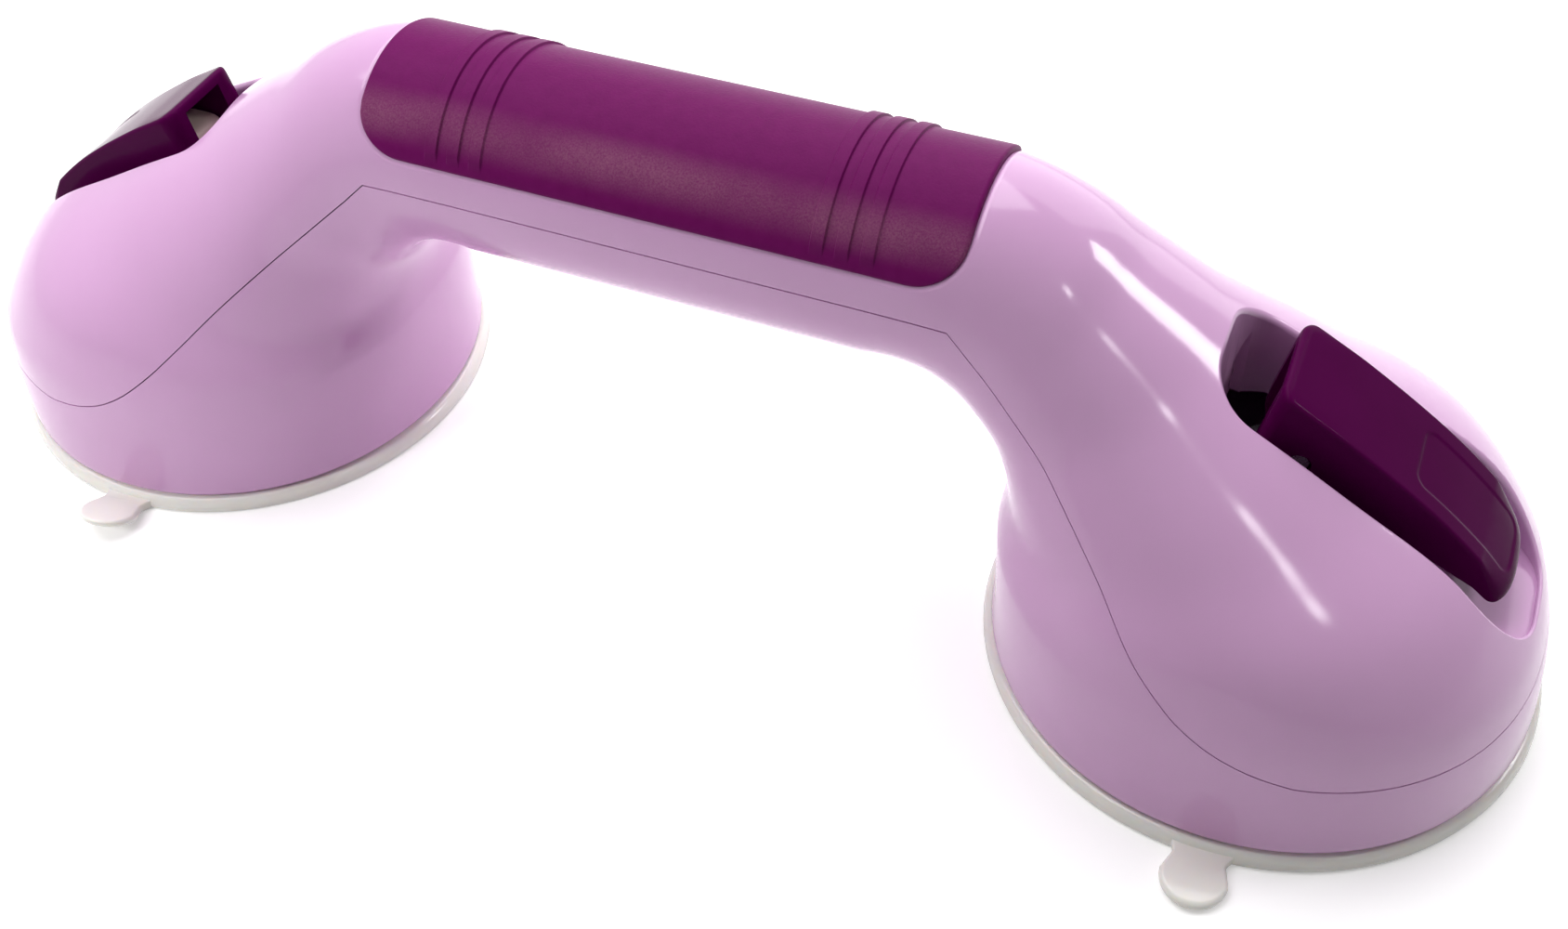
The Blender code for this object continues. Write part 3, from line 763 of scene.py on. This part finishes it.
class Paint:
    """A Principled material with grain in colour, roughness and bump."""

    def __init__(self, name, base, rough, metal=0.0):
        self.material = bpy.data.materials.new(name)
        self.material.use_nodes = True
        self.tree = self.material.node_tree
        self.shader = self.tree.nodes["Principled BSDF"]
        self.shader.inputs["Base Color"].default_value = base
        self.shader.inputs["Roughness"].default_value = rough
        self.shader.inputs["Metallic"].default_value = metal
        self.coords = self.tree.nodes.new("ShaderNodeTexCoord")

    def set(self, **values):
        for key, value in values.items():
            self.shader.inputs[key.replace("_", " ")].default_value = value
        return self

    def noise(self, scale, detail):
        node = self.tree.nodes.new("ShaderNodeTexNoise")
        node.inputs["Scale"].default_value = scale
        node.inputs["Detail"].default_value = detail
        self.tree.links.new(self.coords.outputs["Object"], node.inputs["Vector"])
        return node.outputs["Fac"]

    def ramp(self, value, low, high):
        node = self.tree.nodes.new("ShaderNodeMapRange")
        node.inputs["To Min"].default_value = low
        node.inputs["To Max"].default_value = high
        self.tree.links.new(value, node.inputs["Value"])
        return node.outputs["Result"]

    def rough_grain(self, scale, low, high):
        value = self.ramp(self.noise(scale, 3.0), low, high)
        self.tree.links.new(value, self.shader.inputs["Roughness"])
        return self

    def tint_grain(self, scale, dark, light):
        mix = self.tree.nodes.new("ShaderNodeMix")
        mix.data_type = "RGBA"
        self.tree.links.new(self.noise(scale, 4.0), mix.inputs["Factor"])
        mix.inputs[6].default_value = dark
        mix.inputs[7].default_value = light
        self.tree.links.new(mix.outputs[2], self.shader.inputs["Base Color"])
        return self

    def compute(self, kind, first, second):
        node = self.tree.nodes.new("ShaderNodeMath")
        node.operation = kind
        for slot, value in zip(node.inputs, (first, second)):
            if isinstance(value, float):
                slot.default_value = value
            else:
                self.tree.links.new(value, slot)
        return node.outputs[0]

    def painted_sheen(self, angle, width, tint, share):
        """A painted sheen: a paler, speckled band along the handle where a front-left lamp would
        shine on the grip.
        """
        split = self.tree.nodes.new("ShaderNodeSeparateXYZ")
        self.tree.links.new(self.coords.outputs["Object"], split.inputs[0])
        front = self.compute("MULTIPLY", split.outputs["Y"], -1.0)
        high = self.compute("SUBTRACT", split.outputs["Z"], HANDLE_Z)
        off = self.compute("SUBTRACT", self.compute("ARCTAN2", front, high), math.radians(angle))
        band = self.compute("DIVIDE", off, math.radians(width))
        band = self.compute("SUBTRACT", 1.0, self.compute("MULTIPLY", band, band))
        band = self.compute("POWER", self.compute("MAXIMUM", band, 0.0), 2.0)
        fine, broad = self.noise(3600.0, 3.0), self.noise(60.0, 2.0)
        speckle = self.compute("MULTIPLY", fine, broad)
        amount = self.compute("MULTIPLY", self.compute("MULTIPLY", band, speckle), share)
        mix = self.tree.nodes.new("ShaderNodeMix")
        mix.data_type = "RGBA"
        base = self.shader.inputs["Base Color"]
        self.tree.links.new(amount, mix.inputs["Factor"])
        self.tree.links.new(base.links[0].from_socket, mix.inputs[6])
        mix.inputs[7].default_value = tint
        self.tree.links.new(mix.outputs[2], base)
        return self

    def bump(self, scale, depth):
        node = self.tree.nodes.new("ShaderNodeBump")
        node.inputs["Strength"].default_value = 1.0
        node.inputs["Distance"].default_value = depth
        self.tree.links.new(self.noise(scale, 2.0), node.inputs["Height"])
        self.tree.links.new(node.outputs["Normal"], self.shader.inputs["Normal"])
        return self


def make_paints():
    shell = Paint("lavender plastic", colour(209, 160, 205), 0.18)
    shell.tint_grain(60.0, colour(206, 157, 202), colour(212, 164, 209))
    shell.rough_grain(240.0, 0.10, 0.15).bump(900.0, 0.000003)
    shell.set(Subsurface_Weight=0.05, Subsurface_Radius=(0.004, 0.002, 0.004))
    grip = Paint("purple grip", colour(104, 16, 86), 0.45)
    grip.tint_grain(500.0, colour(98, 12, 81), colour(110, 20, 91))
    grip.rough_grain(1600.0, 0.32, 0.46).bump(2400.0, 0.00003)
    # painted sheen: a paler speckled band standing in for a front-left lamp's shine on the grip
    grip.painted_sheen(angle=46.0, width=17.0, tint=colour(208, 156, 168), share=0.55)
    grip.set(Specular_IOR_Level=0.04)
    lever = Paint("gloss purple", colour(73, 1, 61), 0.12)
    lever.tint_grain(90.0, colour(69, 0, 57), colour(78, 2, 66))
    lever.rough_grain(700.0, 0.09, 0.15).bump(1400.0, 0.000002)
    lever.set(Specular_IOR_Level=0.015)
    cup = Paint("clear vinyl", colour(250, 246, 238), 0.28)
    cup.tint_grain(40.0, colour(247, 242, 232), colour(253, 250, 244))
    cup.rough_grain(300.0, 0.1, 0.18).bump(400.0, 0.000002)
    cup.set(Transmission_Weight=0.05, IOR=1.45, Subsurface_Weight=0.5)
    cup.set(Subsurface_Radius=(0.006, 0.005, 0.004))
    nylon = Paint("cream nylon", colour(232, 220, 200), 0.4)
    nylon.tint_grain(200.0, colour(228, 215, 194), colour(236, 225, 207)).bump(1200.0, 0.00001)
    plate = Paint("moulded plate", colour(176, 140, 178), 0.45)
    plate.tint_grain(150.0, colour(170, 134, 172), colour(181, 146, 183)).bump(1000.0, 0.00001)
    steel = Paint("bright steel", colour(190, 190, 194), 0.28, 1.0)
    steel.rough_grain(1500.0, 0.2, 0.36).bump(2500.0, 0.000006)
    paints = {
        "shell": shell,
        "grip": grip,
        "lever": lever,
        "cup": cup,
        "nylon": nylon,
        "plate": plate,
        "steel": steel,
    }
    return {slot: paint.material for slot, paint in paints.items()}


PAINTS = make_paints()


def show(name, mesh, slot, *nodes, body=None):
    """Put a finished piece in place of its solids."""
    mesh.materials.clear()
    mesh.materials.append(PAINTS[slot])
    obj = bpy.data.objects.new(name, mesh)
    bpy.context.scene.collection.objects.link(obj)
    obj.location = (0.0, MID_Y, 0.0)
    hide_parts(*nodes)
    if body:
        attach(obj, body)
    return obj


# Housing
def build_housing():
    outer = housing_solid("skin", skirt_steps=18, fan_steps=64, points=128, hollow=False)
    skin = Skin(outer)
    hollow = housing_solid("hollow", skirt_steps=4, fan_steps=12, points=24, hollow=True)
    slot = slot_solid(slot_side(), 0.0, 16)
    trough = slot_solid(trough_side(), SLOT_WALL, 8)
    room = pad_solid(
        "room",
        GRIP_HALF + GRIP_GAP,
        GRIP_ARC + math.degrees(GRIP_GAP / HANDLE_R),
        top_r=HANDLE_R + RECESS_OVER,
        thick=GRIP_THICK - GRIP_PROUD + GAP + RECESS_OVER,
        edge=0.00001,
        ribs=False,
        columns=60,
        rows=40,
    )
    heel_r = math.hypot(LEVER_HEEL, LEVER_TOP - LEVER_BOW)
    swing = rod_y(heel_r + GAP, LEVER_HALF + GAP, ROD_STEPS)
    both_troughs = [(trough, "DIFFERENCE"), (moved(trough, HALF_TURN), "DIFFERENCE")]
    room_in = carve(hollow.copy(), *both_troughs)
    upper = carve(
        outer.copy(),
        (above_parting(PART_GAP / 2), "INTERSECT"),
        (room_in, "DIFFERENCE"),
        (slot, "DIFFERENCE"),
        (moved(slot, HALF_TURN), "DIFFERENCE"),
        (room, "DIFFERENCE"),
    )
    drop = Matrix.Translation((0.0, 0.0, -CAM_LIFT))
    for turn in (Matrix.Identity(4), HALF_TURN):
        swept = [(moved(swing, way), "DIFFERENCE") for way in (turn, turn @ drop)]
        upper = carve(upper, *swept)
    lip = lip_cutter(grip_rim(skin), skin, GRIP_LIP, GRIP_LIP_FLAT, GRIP_LIP_TURN)
    lips = [(lip, "DIFFERENCE")]
    for loop in rims(upper, skin):
        spots = [p for p, _ in loop]
        middle = sum(spots, Vector((0, 0, 0))) / len(spots)
        wide = max(p.x for p in spots) - min(p.x for p in spots)
        if wide < RIM_WIDE and abs(middle.x) > RIM_OUT:
            lips.append((lip_cutter(loop, skin, LIP_R), "DIFFERENCE"))
    upper = carve(upper, *lips)
    above = above_parting(-PART_GAP / 2)
    lower = carve(outer.copy(), (above, "DIFFERENCE"), (hollow, "DIFFERENCE"))
    show("cover", keep_skin_normals(upper, skin), "shell", "upper_shell", body="housing")
    show("underbody", keep_skin_normals(lower, skin), "shell", "lower_shell", body="housing")


def build_grip():
    mesh = pad_solid(
        "grip",
        GRIP_HALF,
        GRIP_ARC,
        top_r=HANDLE_R + GRIP_PROUD,
        thick=GRIP_THICK,
        edge=GRIP_EDGE,
        ribs=True,
        columns=160,
        rows=72,
    )
    show("grip_pad", shade(mesh, SOFT_CREASE), "grip", "grip", body="housing")


# Lever
def lever_point(u, w):
    """From along and across the lever to x and z about its pivot."""
    a = math.radians(LEVER_SLOPE)
    return u * math.cos(a) + w * math.sin(a), w * math.cos(a) - u * math.sin(a)


def cam_point(turn):
    """A point of the involute cam under the pivot."""
    reach = CAM_REACH - CAM_RATE * math.radians(turn)
    a = math.radians(-90.0 - turn)
    x = reach * math.cos(a) - CAM_RATE * math.sin(a)
    return x, reach * math.sin(a) + CAM_RATE * math.cos(a)


def lever_outline(spacing):
    """The lever's side as an even, slightly softened closed row of points."""
    tip, top, bow = LEVER_TIP, LEVER_TOP, LEVER_BOW
    crown = [
        (-LEVER_HEEL, top - bow),
        (-LEVER_HEEL / 2, top - bow / 2),
        (0.0, top),
        (tip * 0.27, top + bow * 0.6),
        (tip * 0.52, top + bow * 0.8),
        (tip * 0.74, top + bow * 0.5),
        (tip * 0.89, top),
        (tip * 0.97, top - bow * 0.5),
        (tip, top - bow * 1.2),
        (tip * 0.97, top - bow * 1.8),
        (tip * 0.85, top - bow * 2.5),
        (tip * 0.5, top - bow * 4.4),
    ]
    points = [lever_point(u, w) for u, w in through(crown, 6)]
    points += [cam_point(CAM_TURN * k / 20 - CAM_LEAD) for k in range(24)]
    row = np.array(points + points[:1])
    walk = np.concatenate([[0.0], np.cumsum(np.linalg.norm(np.diff(row, axis=0), axis=1))])
    wanted = np.linspace(0, walk[-1], int(walk[-1] / spacing), endpoint=False)
    even = np.stack([np.interp(wanted, walk, row[:, c]) for c in range(2)], 1)
    for _ in range(LEVER_SOFTEN):
        even = (np.roll(even, 1, 0) + 2 * even + np.roll(even, -1, 0)) / 4
    return even


def thumb_dish(u, y):
    """Depth of the shallow hollow that the thumb finds near the end."""
    du = abs(u - DISH_MID) - (DISH_LONG - DISH_CORNER)
    dy = abs(y) - (DISH_WIDE - DISH_CORNER)
    outside = math.hypot(max(du, 0.0), max(dy, 0.0)) + min(max(du, dy), 0.0) - DISH_CORNER
    return DISH_DEEP * step_up(-outside / DISH_EDGE)


def lever_solid():
    outline = lever_outline(LEVER_SPACING)
    ahead = np.roll(outline, -1, 0) - np.roll(outline, 1, 0)
    normal = np.stack([-ahead[:, 1], ahead[:, 0]], 1)
    normal /= np.linalg.norm(normal, axis=1)[:, None]
    xs, zs = outline.T
    area = np.sum(xs * np.roll(zs, -1) - zs * np.roll(xs, -1))
    if area < 0:
        normal = -normal
    a = math.radians(LEVER_SLOPE)
    tip_x = outline[:, 0].max()
    base_x = tip_x - 1.6 * LEVER_ROUND
    side = []
    for k in range(7):
        b = math.pi / 2 * k / 6
        y = LEVER_HALF - LEVER_EDGE * (1 - math.cos(b))
        side.append((y, LEVER_EDGE * (1 - math.sin(b))))
    inner = LEVER_HALF - LEVER_EDGE
    middle = [(y, 0.0) for y in np.linspace(inner, -inner, 81)[1:-1]]
    stations = side + middle + [(-y, inset) for y, inset in reversed(side)]
    rings = []
    for y, inset in stations:
        flat = outline + normal * inset
        share = min(1.0, abs(y) / (LEVER_HALF + GAP / 3))
        limit = tip_x - LEVER_ROUND * (1 - (1 - share**TIP_POWER) ** (1 / TIP_POWER))
        corner = max(0.0, abs(y) - LEVER_HALF + HEEL_ROUND) / HEEL_ROUND
        pull = HEEL_ROUND * (1 - math.sqrt(max(0.0, 1 - 0.9 * corner**2)))
        ring = []
        for (x, z), n in zip(flat, normal):
            u = x * math.cos(a) - z * math.sin(a)
            if -n[0] * math.sin(a) - n[1] * math.cos(a) > DISH_FACING:
                depth = thumb_dish(u, y)
                x, z = x + n[0] * depth, z + n[1] * depth
            if x > base_x:
                x = base_x + (x - base_x) * (limit - base_x) / (tip_x - base_x)
            if u < 0:
                x += pull * min(1.0, u / -LEVER_HEEL) * math.cos(a)
                z -= pull * min(1.0, u / -LEVER_HEEL) * math.sin(a)
            ring.append((FOOT_X + x, y, PIVOT_Z + z))
        rings.append(ring)
    body = lofted("lever", rings)
    under = LEVER_TOP - LEVER_BOW - LEVER_SKIN
    stop = STEM_HEAD_R + 2 * GAP
    u = (stop - under * math.sin(a)) / math.cos(a)
    back = lever_point(-LEVER_HEEL - 0.004, under)
    far = -FAR / 3
    fork = [(far, far), (stop, far), lever_point(u, under), back, (far, back[1])]
    fork = [(FOOT_X + x, PIVOT_Z + z) for x, z in fork]
    hole = rod_y(PIN_R + GAP, FAR, PIN_STEPS)
    fork = prism_y("fork", fork, STEM_HEAD_HALF + GAP)
    return carve(body, (fork, "DIFFERENCE"), (hole, "DIFFERENCE"))


# Stem, pin, spring and cup of the right foot
def stem_solid():
    foot_top = STEM_FOOT_Z + STEM_FOOT_THICK
    profile = [
        (0.0, PIVOT_Z),
        (STEM_R, PIVOT_Z),
        (STEM_R, foot_top + STEM_FILLET),
        (STEM_R + STEM_FILLET, foot_top),
        (STEM_FOOT_R - STEM_EDGE, foot_top),
        (STEM_FOOT_R, foot_top - STEM_EDGE),
        (STEM_FOOT_R, STEM_FOOT_Z + STEM_EDGE),
        (STEM_FOOT_R - STEM_EDGE, STEM_FOOT_Z),
        (0.0, STEM_FOOT_Z),
    ]
    shaft = moved(turned("stem", profile, 48), AT_FOOT)
    head = rod_y(STEM_HEAD_R, STEM_HEAD_HALF, ROD_STEPS, edge=0.0005, power=4.0)
    eye = rod_y(PIN_R + GAP, FAR, PIN_STEPS)
    return carve(shaft, (head, "UNION"), (eye, "DIFFERENCE"))


def spring_solid():
    low = CUP_BOSS_Z + WIRE_R + GAP
    high = TOWER_TOP - TOWER_CAP - WIRE_R - GAP
    total = SPRING_TURNS * SPRING_STEPS
    climb = (high - low) / (SPRING_TURNS * 2 * math.pi)
    rings = []
    for k in range(total + 1):
        a = 2 * math.pi * k / SPRING_STEPS
        out = Vector((math.cos(a), math.sin(a), 0.0))
        along = Vector((-SPRING_R * math.sin(a), SPRING_R * math.cos(a), climb)).normalized()
        up = along.cross(out)
        centre = SPRING_R * out + Vector((FOOT_X, 0.0, low + (high - low) * k / total))
        ring = []
        for m in range(WIRE_STEPS):
            b = 2 * math.pi * m / WIRE_STEPS
            ring.append(tuple(centre + WIRE_R * (math.cos(b) * out + math.sin(b) * up)))
        rings.append(ring)
    return lofted("spring", rings)


def cup_profile():
    """(radius, z) round the cup: pocket, boss, back, lip, rim, dome."""
    floor = STEM_FOOT_Z - GAP
    pocket_r = STEM_FOOT_R + GAP
    pocket_top = STEM_FOOT_Z + STEM_FOOT_THICK + GAP
    bore = STEM_R + GAP
    lip_top = SKIRT_Z - GAP
    flat_r = CUP_R - CUP_FLAT
    dome = []
    for k in range(9):
        s = k / 8
        dome.append((flat_r * (1 - s), CUP_RISE * math.sin(math.pi / 2 * s) ** 1.1))
    return [
        (0.0, floor),
        (pocket_r, floor),
        (pocket_r, pocket_top),
        (bore, pocket_top),
        (bore, CUP_BOSS_Z),
        (CUP_BOSS_R - CUP_BOSS_EDGE, CUP_BOSS_Z),
        (CUP_BOSS_R, CUP_BOSS_Z - CUP_BOSS_EDGE),
        (CUP_BOSS_R, CUP_BED + 0.0048),
        (CUP_BOSS_R + 0.0006, CUP_BED + 0.0040),
        (0.020, CUP_BED + 0.0026),
        (PLATE_R - PLATE_RING - 0.001, CUP_BED),
        (PLATE_R + 0.0013, CUP_BED),
        (PLATE_R + 0.0025, lip_top),
        (CUP_R - 0.0012, lip_top - 0.0002),
        (CUP_R - 0.0005, lip_top - 0.0006),
        (CUP_R - 0.0001, CUP_LIP),
        (CUP_R, CUP_LIP * 0.5),
        (CUP_R - 0.0002, 0.0),
    ] + dome


def tab_solid(curl):
    """The release tab at the cup's front, its end curled up a little."""
    edge = 0.0015 - CUP_R
    end = TAB_HALF - CUP_R - TAB_REACH
    neck = [
        (TAB_NECK + 0.0012, edge),
        (TAB_NECK, edge - 0.0022),
        (TAB_NECK + 0.0003, end + 0.0022),
        (TAB_HALF, end),
    ]
    right = through(neck, 5)
    turns = [math.pi * k / 16 for k in range(1, 16)]
    tip = [(TAB_HALF * math.cos(a), end - TAB_HALF * math.sin(a)) for a in turns]
    outline = right + tip + [(-x, y) for x, y in reversed(right)]
    rings = []
    round_r = TAB_THICK / 2
    mid = sum(y for _, y in outline) / len(outline)
    for k in range(9):
        a = math.pi * k / 8 - math.pi / 2
        inset = round_r * (1 - math.cos(a)) * 0.8
        z = round_r + round_r * math.sin(a)
        shrink_x = 1 - inset / TAB_HALF
        shrink_y = 1 - inset / (TAB_REACH / 2)
        ring = []
        for x, y in outline:
            y = mid + (y - mid) * shrink_y
            out = max(0.0, -CUP_R - y) / TAB_REACH
            ring.append((x * shrink_x + TAB_SHIFT, y, z + curl * out**1.5))
        rings.append(ring)
    return lofted("tab", rings)


def build_feet():
    lever = even_faces(shade(lever_solid(), CREASE))
    stem = shade(stem_solid(), CREASE)
    pin = shade(rod_y(PIN_R, PIN_HALF, PIN_STEPS, edge=0.0002), CREASE)
    spring = shade(spring_solid(), SOFT_CREASE)
    for word, facing, curl in (("right", 1, 0.0), ("left", -1, TAB_CURL)):
        bowl = turned("cup", cup_profile(), 160)
        cup = shade(carve(bowl, (tab_solid(curl), "UNION")), CREASE)
        turn = Matrix.Identity(4) if facing > 0 else HALF_TURN
        draw = word + "_draw_stem"
        swing = word + "_cam_lever"
        show(word + "_lever_look", moved(lever, turn), "lever", word + "_lever", body=swing)
        show(word + "_stem_look", moved(stem, turn), "nylon", word + "_stem", body=draw)
        show(word + "_pin_look", moved(pin, turn), "steel", word + "_pivot_pin", body=draw)
        coil = show(word + "_spring_look", moved(spring, turn), "steel", word + "_return_spring")
        x = facing * FOOT_X
        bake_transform(coil)
        cup = moved(cup, Matrix.Translation((x, 0.0, 0.0)))
        soft = show(word + "_cup_look", cup, "cup", word + "_suction_cup")
        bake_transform(soft)


def dress_hidden():
    """Plates and screws keep their solids and get a finish."""
    finishes = (("pressure_plate", "plate"), ("wear_plate", "steel"), ("screw", "steel"))
    for name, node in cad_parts.items():
        for word, slot in finishes:
            if word in name:
                node.data.materials.clear()
                node.data.materials.append(PAINTS[slot])


# Floor, light and camera
def plane(name, size, place, material):
    mesh = bpy.data.meshes.new(name)
    h = size / 2
    mesh.from_pydata([(-h, -h, 0), (h, -h, 0), (h, h, 0), (-h, h, 0)], [], [(0, 1, 2, 3)])
    mesh.materials.append(material)
    obj = bpy.data.objects.new(name, mesh)
    bpy.context.scene.collection.objects.link(obj)
    obj.location = place


def seen_strength(tree, seen, unseen):
    """One strength for rays that look at a surface, another for its light."""
    rays = tree.nodes.new("ShaderNodeLightPath")
    looks = rays.outputs["Is Camera Ray"]
    for kind in ("Is Glossy Ray", "Is Transmission Ray"):
        either = tree.nodes.new("ShaderNodeMath")
        either.operation = "MAXIMUM"
        tree.links.new(looks, either.inputs[0])
        tree.links.new(rays.outputs[kind], either.inputs[1])
        looks = either.outputs[0]
    strength = tree.nodes.new("ShaderNodeMapRange")
    strength.inputs["To Min"].default_value = unseen
    strength.inputs["To Max"].default_value = seen
    tree.links.new(looks, strength.inputs["Value"])
    return strength.outputs["Result"]


def floor_material():
    """Matt and pale; the camera and mirror rays see it a little lighter."""
    material = bpy.data.materials.new("pale floor")
    material.use_nodes = True
    tree = material.node_tree
    shader = tree.nodes["Principled BSDF"]
    shader.inputs["Base Color"].default_value = FLOOR_GREY
    shader.inputs["Roughness"].default_value = 0.9
    shader.inputs["Specular IOR Level"].default_value = 0.1
    shader.inputs["Emission Color"].default_value = WHITE
    tree.links.new(seen_strength(tree, FLOOR_LIFT, 0.0), shader.inputs["Emission Strength"])
    return material


def hang(name, light, place, aim, mirrored):
    """Place a light and turn it to its aim; it never shows to the camera."""
    obj = bpy.data.objects.new(name, light)
    bpy.context.scene.collection.objects.link(obj)
    obj.location = place
    obj.rotation_euler = (Vector(aim) - Vector(place)).to_track_quat("-Z", "Y").to_euler()
    obj.visible_glossy = mirrored
    obj.visible_camera = False


def lamp(name, place, aim, size, power):
    light = bpy.data.lights.new(name, "AREA")
    light.shape = "RECTANGLE"
    light.size, light.size_y = size
    light.energy = power
    hang(name, light, place, aim, mirrored=True)


def beam(name, place, aim, angle, power):
    """A soft spot that lights without showing as a highlight."""
    light = bpy.data.lights.new(name, "SPOT")
    light.energy = power
    light.spot_size = math.radians(angle)
    light.spot_blend = 1.0
    light.shadow_soft_size = 0.1
    hang(name, light, place, aim, mirrored=False)


def build_stage():
    plane("floor", FLOOR_SIZE, (0.0, 0.0, -FLOOR_DROP), floor_material())
    world = bpy.data.worlds.new("studio")
    bpy.context.scene.world = world
    world.use_nodes = True
    sky = world.node_tree.nodes["Background"]
    sky.inputs["Color"].default_value = WHITE
    strength = seen_strength(world.node_tree, 1.0, SKY_FILL)
    world.node_tree.links.new(strength, sky.inputs["Strength"])
    # place, aim, size in metres or angle in degrees, watts
    lamp("key", (-0.25, 0.2, 0.9), (0.0, 0.0, 0.04), (1.2, 0.8), 11.0)
    lamp("back", (0.0, 1.1, 0.62), (0.0, 0.0, 0.06), (1.6, 1.25), 8.5)
    lamp("ridge", (0.76, 0.455, 0.64), (0.08, 0.0, 0.068), (0.21, 0.21), 2.0)
    lamp("streak", (0.66, -0.335, 0.806), (0.10, -0.025, 0.046), (0.07, 0.07), 0.25)
    beam("left", (-0.35, -0.45, 0.45), (-0.12, 0.0, 0.03), 34.0, 7.5)
    beam("inner", (0.01, 0.55, 0.12), (-0.056, 0.012, 0.018), 9.0, 22.0)


# Camera, fitted to the rims of both cups
EYE = Vector((0.103924, -0.192636 + MID_Y, 0.232400))
TARGET = Vector((0.014231, MID_Y, 0.008448))
ROLL = -0.0481075
LENS = 39.593


def build_camera():
    camera = bpy.data.cameras.new("photo view")
    camera.sensor_width = 36.0
    camera.lens = LENS
    camera.clip_start = 0.01
    obj = bpy.data.objects.new("photo view", camera)
    bpy.context.scene.collection.objects.link(obj)
    look = (TARGET - EYE).normalized()
    side = look.cross(Vector((0, 0, 1))).normalized()
    up = side.cross(look)
    right = math.cos(ROLL) * side + math.sin(ROLL) * up
    top = math.cos(ROLL) * up - math.sin(ROLL) * side
    axes = Matrix((right, top, -look)).transposed()
    obj.matrix_world = Matrix.Translation(EYE) @ axes.to_4x4()
    bpy.context.scene.camera = obj


build_housing()
build_grip()
build_feet()
dress_hidden()
build_stage()
build_camera()
bpy.context.scene.view_settings.view_transform = "Standard"
